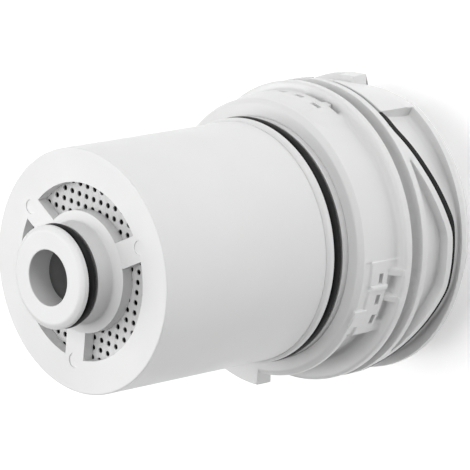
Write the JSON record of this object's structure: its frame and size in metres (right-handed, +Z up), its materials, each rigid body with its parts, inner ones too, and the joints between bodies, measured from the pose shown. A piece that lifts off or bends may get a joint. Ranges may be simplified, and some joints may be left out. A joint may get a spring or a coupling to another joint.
{
  "type": "shower filter cartridge",
  "caption": "White filter cartridge with a windowed face, a sealed outlet spigot, a bayonet collar with a wavy seam and a domed locking end cap.",
  "frame": {"origin": "centre of the end cap's flat base, where the cartridge stands", "axes": "+Z runs up the cartridge's axis towards the outlet spigot; X and Y lie across it, with one low stretch of the wavy seam centred 105 degrees clockwise from +X seen from above"},
  "size_m": [0.0634, 0.0634, 0.0993],
  "materials": {
    "white_plastic": "moulded white plastic with a soft sheen",
    "screen_plastic": "light grey perforated plastic",
    "black_rubber": "smooth black seal rubber",
    "dark_fleece": "dark filter felt",
    "sulfite_granules": "off-white packed granules",
    "brass_granules": "fine copper-zinc granules",
    "carbon_granules": "black packed carbon granules",
    "spring_steel": "bright spring steel"
  },
  "bodies": {
    "cap": {"end_cap": "white_plastic"},
    "collar": {"collar": "white_plastic", "seam_gasket": "black_rubber", "base_disc": "white_plastic"},
    "neck_seal": {"neck_oring": "black_rubber"},
    "canister": {"canister_shell": "white_plastic", "canister_base": "white_plastic", "spigot_oring": "black_rubber", "inlet_screen": "screen_plastic", "front_fleece": "dark_fleece", "media_sulfite": "sulfite_granules", "middle_fleece": "dark_fleece", "media_kdf": "brass_granules", "lower_fleece": "dark_fleece", "media_carbon": "carbon_granules", "rear_fleece": "dark_fleece", "rear_screen": "screen_plastic", "stack_spring": "spring_steel", "outlet_tube": "white_plastic", "tube_oring": "black_rubber"}
  },
  "joints": [
    {"name": "cap_release", "type": "slide", "parent": "cap", "child": "collar", "axis": [0, 0, 1], "range_m": [0, 0.012]},
    {"name": "canister_lift", "type": "slide", "parent": "collar", "child": "neck_seal", "axis": [0, 0, 1], "range_m": [0, 0.01]},
    {"name": "canister_turn", "type": "hinge", "parent": "neck_seal", "child": "canister", "pos_m": [0, 0, 0.043], "axis": [0, 0, 1], "range_deg": [0, 30]}
  ]
}
